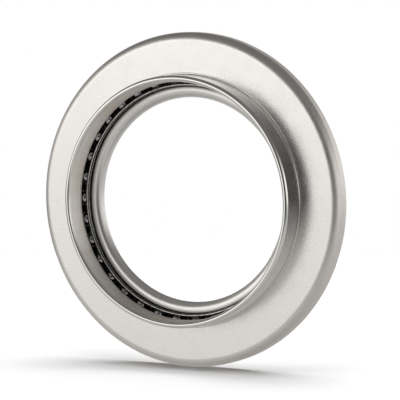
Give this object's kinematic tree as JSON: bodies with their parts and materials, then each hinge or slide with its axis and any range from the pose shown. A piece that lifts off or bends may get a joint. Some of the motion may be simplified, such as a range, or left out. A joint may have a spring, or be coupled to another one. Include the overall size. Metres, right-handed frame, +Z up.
{
  "type": "thrust ball bearing",
  "caption": "Pressed-steel thrust ball bearing: a collared front ring with a rounded skirt turns on balls in a black cage against a rear ring.",
  "frame": {"origin": "centre of the bounding box, on the bearing's axis", "axes": "+Y along the bearing's axis from the collar to the rear ring, +Z up when it stands on its rim"},
  "size_m": [0.068, 0.0096, 0.068],
  "materials": {
    "satin_steel": "satin, fine tumbled grain, bright round edges",
    "raceway_steel": "turned, fine rings round the axis, bright edge at the bore",
    "black_cage": "black moulding with a low gloss",
    "ball_steel": "polished"
  },
  "bodies": {
    "front_ring": {"front_ring": "satin_steel"},
    "rear_ring": {"rear_ring": "raceway_steel"},
    "cage": {"ball_cage": "black_cage"},
    "ball_01": {"ball_01": "ball_steel"},
    "ball_02": {"ball_02": "ball_steel"},
    "ball_03": {"ball_03": "ball_steel"},
    "ball_04": {"ball_04": "ball_steel"},
    "ball_05": {"ball_05": "ball_steel"},
    "ball_06": {"ball_06": "ball_steel"},
    "ball_07": {"ball_07": "ball_steel"},
    "ball_08": {"ball_08": "ball_steel"},
    "ball_09": {"ball_09": "ball_steel"},
    "ball_10": {"ball_10": "ball_steel"},
    "ball_11": {"ball_11": "ball_steel"},
    "ball_12": {"ball_12": "ball_steel"},
    "ball_13": {"ball_13": "ball_steel"},
    "ball_14": {"ball_14": "ball_steel"},
    "ball_15": {"ball_15": "ball_steel"},
    "ball_16": {"ball_16": "ball_steel"},
    "ball_17": {"ball_17": "ball_steel"},
    "ball_18": {"ball_18": "ball_steel"},
    "ball_19": {"ball_19": "ball_steel"},
    "ball_20": {"ball_20": "ball_steel"},
    "ball_21": {"ball_21": "ball_steel"},
    "ball_22": {"ball_22": "ball_steel"},
    "ball_23": {"ball_23": "ball_steel"},
    "ball_24": {"ball_24": "ball_steel"},
    "ball_25": {"ball_25": "ball_steel"},
    "ball_26": {"ball_26": "ball_steel"},
    "ball_27": {"ball_27": "ball_steel"},
    "ball_28": {"ball_28": "ball_steel"},
    "ball_29": {"ball_29": "ball_steel"},
    "ball_30": {"ball_30": "ball_steel"},
    "ball_31": {"ball_31": "ball_steel"},
    "ball_32": {"ball_32": "ball_steel"},
    "ball_33": {"ball_33": "ball_steel"},
    "ball_34": {"ball_34": "ball_steel"},
    "ball_35": {"ball_35": "ball_steel"}
  },
  "joints": [
    {"name": "rear_ring_spin", "type": "hinge", "parent": "front_ring", "child": "rear_ring", "pos_m": [0, 0.0025, 0], "axis": [0, 1, 0], "continuous": true},
    {"name": "cage_spin", "type": "hinge", "parent": "front_ring", "child": "cage", "pos_m": [0, 0.0025, 0], "axis": [0, 1, 0], "continuous": true},
    {"name": "ball_01_roll", "type": "hinge", "parent": "cage", "child": "ball_01", "pos_m": [0.02468, 0.0025, -0.00186], "axis": [0.8318, 0.5516, -0.0625], "continuous": true},
    {"name": "ball_02_roll", "type": "hinge", "parent": "cage", "child": "ball_02", "pos_m": [0.02462, 0.0025, 0.00258], "axis": [0.8296, 0.5516, 0.087], "continuous": true},
    {"name": "ball_03_roll", "type": "hinge", "parent": "cage", "child": "ball_03", "pos_m": [0.02376, 0.0025, 0.00693], "axis": [0.8007, 0.5516, 0.2337], "continuous": true},
    {"name": "ball_04_roll", "type": "hinge", "parent": "cage", "child": "ball_04", "pos_m": [0.02214, 0.0025, 0.01107], "axis": [0.7461, 0.5516, 0.3729], "continuous": true},
    {"name": "ball_05_roll", "type": "hinge", "parent": "cage", "child": "ball_05", "pos_m": [0.01981, 0.0025, 0.01484], "axis": [0.6675, 0.5516, 0.5002], "continuous": true},
    {"name": "ball_06_roll", "type": "hinge", "parent": "cage", "child": "ball_06", "pos_m": [0.01684, 0.0025, 0.01814], "axis": [0.5675, 0.5516, 0.6113], "continuous": true},
    {"name": "ball_07_roll", "type": "hinge", "parent": "cage", "child": "ball_07", "pos_m": [0.01333, 0.0025, 0.02085], "axis": [0.4492, 0.5516, 0.7028], "continuous": true},
    {"name": "ball_08_roll", "type": "hinge", "parent": "cage", "child": "ball_08", "pos_m": [0.00939, 0.0025, 0.0229], "axis": [0.3165, 0.5516, 0.7717], "continuous": true},
    {"name": "ball_09_roll", "type": "hinge", "parent": "cage", "child": "ball_09", "pos_m": [0.00515, 0.0025, 0.02421], "axis": [0.1736, 0.5516, 0.8158], "continuous": true},
    {"name": "ball_10_roll", "type": "hinge", "parent": "cage", "child": "ball_10", "pos_m": [0.00075, 0.0025, 0.02474], "axis": [0.0252, 0.5516, 0.8337], "continuous": true},
    {"name": "ball_11_roll", "type": "hinge", "parent": "cage", "child": "ball_11", "pos_m": [-0.00368, 0.0025, 0.02447], "axis": [-0.1241, 0.5516, 0.8248], "continuous": true},
    {"name": "ball_12_roll", "type": "hinge", "parent": "cage", "child": "ball_12", "pos_m": [-0.00799, 0.0025, 0.02342], "axis": [-0.2694, 0.5516, 0.7894], "continuous": true},
    {"name": "ball_13_roll", "type": "hinge", "parent": "cage", "child": "ball_13", "pos_m": [-0.01205, 0.0025, 0.02162], "axis": [-0.406, 0.5516, 0.7286], "continuous": true},
    {"name": "ball_14_roll", "type": "hinge", "parent": "cage", "child": "ball_14", "pos_m": [-0.01571, 0.0025, 0.01912], "axis": [-0.5296, 0.5516, 0.6444], "continuous": true},
    {"name": "ball_15_roll", "type": "hinge", "parent": "cage", "child": "ball_15", "pos_m": [-0.01888, 0.0025, 0.01601], "axis": [-0.6362, 0.5516, 0.5395], "continuous": true},
    {"name": "ball_16_roll", "type": "hinge", "parent": "cage", "child": "ball_16", "pos_m": [-0.02143, 0.0025, 0.01238], "axis": [-0.7223, 0.5516, 0.4172], "continuous": true},
    {"name": "ball_17_roll", "type": "hinge", "parent": "cage", "child": "ball_17", "pos_m": [-0.0233, 0.0025, 0.00835], "axis": [-0.7852, 0.5516, 0.2816], "continuous": true},
    {"name": "ball_18_roll", "type": "hinge", "parent": "cage", "child": "ball_18", "pos_m": [-0.02441, 0.0025, 0.00406], "axis": [-0.8228, 0.5516, 0.1368], "continuous": true},
    {"name": "ball_19_roll", "type": "hinge", "parent": "cage", "child": "ball_19", "pos_m": [-0.02475, 0.0025, -0.00036], "axis": [-0.834, 0.5516, -0.0123], "continuous": true},
    {"name": "ball_20_roll", "type": "hinge", "parent": "cage", "child": "ball_20", "pos_m": [-0.02428, 0.0025, -0.00478], "axis": [-0.8184, 0.5516, -0.161], "continuous": true},
    {"name": "ball_21_roll", "type": "hinge", "parent": "cage", "child": "ball_21", "pos_m": [-0.02304, 0.0025, -0.00904], "axis": [-0.7765, 0.5516, -0.3045], "continuous": true},
    {"name": "ball_22_roll", "type": "hinge", "parent": "cage", "child": "ball_22", "pos_m": [-0.02106, 0.0025, -0.01301], "axis": [-0.7097, 0.5516, -0.4383], "continuous": true},
    {"name": "ball_23_roll", "type": "hinge", "parent": "cage", "child": "ball_23", "pos_m": [-0.0184, 0.0025, -0.01656], "axis": [-0.62, 0.5516, -0.558], "continuous": true},
    {"name": "ball_24_roll", "type": "hinge", "parent": "cage", "child": "ball_24", "pos_m": [-0.01515, 0.0025, -0.01958], "axis": [-0.5104, 0.5516, -0.6597], "continuous": true},
    {"name": "ball_25_roll", "type": "hinge", "parent": "cage", "child": "ball_25", "pos_m": [-0.01141, 0.0025, -0.02196], "axis": [-0.3844, 0.5516, -0.7403], "continuous": true},
    {"name": "ball_26_roll", "type": "hinge", "parent": "cage", "child": "ball_26", "pos_m": [-0.0073, 0.0025, -0.02365], "axis": [-0.2461, 0.5516, -0.797], "continuous": true},
    {"name": "ball_27_roll", "type": "hinge", "parent": "cage", "child": "ball_27", "pos_m": [-0.00296, 0.0025, -0.02457], "axis": [-0.0998, 0.5516, -0.8281], "continuous": true},
    {"name": "ball_28_roll", "type": "hinge", "parent": "cage", "child": "ball_28", "pos_m": [0.00147, 0.0025, -0.02471], "axis": [0.0497, 0.5516, -0.8326], "continuous": true},
    {"name": "ball_29_roll", "type": "hinge", "parent": "cage", "child": "ball_29", "pos_m": [0.00586, 0.0025, -0.02405], "axis": [0.1975, 0.5516, -0.8104], "continuous": true},
    {"name": "ball_30_roll", "type": "hinge", "parent": "cage", "child": "ball_30", "pos_m": [0.01006, 0.0025, -0.02261], "axis": [0.3391, 0.5516, -0.7621], "continuous": true},
    {"name": "ball_31_roll", "type": "hinge", "parent": "cage", "child": "ball_31", "pos_m": [0.01394, 0.0025, -0.02045], "axis": [0.4697, 0.5516, -0.6893], "continuous": true},
    {"name": "ball_32_roll", "type": "hinge", "parent": "cage", "child": "ball_32", "pos_m": [0.01737, 0.0025, -0.01764], "axis": [0.5852, 0.5516, -0.5943], "continuous": true},
    {"name": "ball_33_roll", "type": "hinge", "parent": "cage", "child": "ball_33", "pos_m": [0.02023, 0.0025, -0.01425], "axis": [0.682, 0.5516, -0.4803], "continuous": true},
    {"name": "ball_34_roll", "type": "hinge", "parent": "cage", "child": "ball_34", "pos_m": [0.02245, 0.0025, -0.01041], "axis": [0.7568, 0.5516, -0.3508], "continuous": true},
    {"name": "ball_35_roll", "type": "hinge", "parent": "cage", "child": "ball_35", "pos_m": [0.02395, 0.0025, -0.00623], "axis": [0.8072, 0.5516, -0.2101], "continuous": true}
  ],
  "couplings": [
    {"joint": "cage_spin", "follows": "rear_ring_spin", "ratio": 0.48607},
    {"joint": "ball_01_roll", "follows": "rear_ring_spin", "ratio": -9.8923},
    {"joint": "ball_02_roll", "follows": "rear_ring_spin", "ratio": -9.8923},
    {"joint": "ball_03_roll", "follows": "rear_ring_spin", "ratio": -9.8923},
    {"joint": "ball_04_roll", "follows": "rear_ring_spin", "ratio": -9.8923},
    {"joint": "ball_05_roll", "follows": "rear_ring_spin", "ratio": -9.8923},
    {"joint": "ball_06_roll", "follows": "rear_ring_spin", "ratio": -9.8923},
    {"joint": "ball_07_roll", "follows": "rear_ring_spin", "ratio": -9.8923},
    {"joint": "ball_08_roll", "follows": "rear_ring_spin", "ratio": -9.8923},
    {"joint": "ball_09_roll", "follows": "rear_ring_spin", "ratio": -9.8923},
    {"joint": "ball_10_roll", "follows": "rear_ring_spin", "ratio": -9.8923},
    {"joint": "ball_11_roll", "follows": "rear_ring_spin", "ratio": -9.8923},
    {"joint": "ball_12_roll", "follows": "rear_ring_spin", "ratio": -9.8923},
    {"joint": "ball_13_roll", "follows": "rear_ring_spin", "ratio": -9.8923},
    {"joint": "ball_14_roll", "follows": "rear_ring_spin", "ratio": -9.8923},
    {"joint": "ball_15_roll", "follows": "rear_ring_spin", "ratio": -9.8923},
    {"joint": "ball_16_roll", "follows": "rear_ring_spin", "ratio": -9.8923},
    {"joint": "ball_17_roll", "follows": "rear_ring_spin", "ratio": -9.8923},
    {"joint": "ball_18_roll", "follows": "rear_ring_spin", "ratio": -9.8923},
    {"joint": "ball_19_roll", "follows": "rear_ring_spin", "ratio": -9.8923},
    {"joint": "ball_20_roll", "follows": "rear_ring_spin", "ratio": -9.8923},
    {"joint": "ball_21_roll", "follows": "rear_ring_spin", "ratio": -9.8923},
    {"joint": "ball_22_roll", "follows": "rear_ring_spin", "ratio": -9.8923},
    {"joint": "ball_23_roll", "follows": "rear_ring_spin", "ratio": -9.8923},
    {"joint": "ball_24_roll", "follows": "rear_ring_spin", "ratio": -9.8923},
    {"joint": "ball_25_roll", "follows": "rear_ring_spin", "ratio": -9.8923},
    {"joint": "ball_26_roll", "follows": "rear_ring_spin", "ratio": -9.8923},
    {"joint": "ball_27_roll", "follows": "rear_ring_spin", "ratio": -9.8923},
    {"joint": "ball_28_roll", "follows": "rear_ring_spin", "ratio": -9.8923},
    {"joint": "ball_29_roll", "follows": "rear_ring_spin", "ratio": -9.8923},
    {"joint": "ball_30_roll", "follows": "rear_ring_spin", "ratio": -9.8923},
    {"joint": "ball_31_roll", "follows": "rear_ring_spin", "ratio": -9.8923},
    {"joint": "ball_32_roll", "follows": "rear_ring_spin", "ratio": -9.8923},
    {"joint": "ball_33_roll", "follows": "rear_ring_spin", "ratio": -9.8923},
    {"joint": "ball_34_roll", "follows": "rear_ring_spin", "ratio": -9.8923},
    {"joint": "ball_35_roll", "follows": "rear_ring_spin", "ratio": -9.8923}
  ]
}
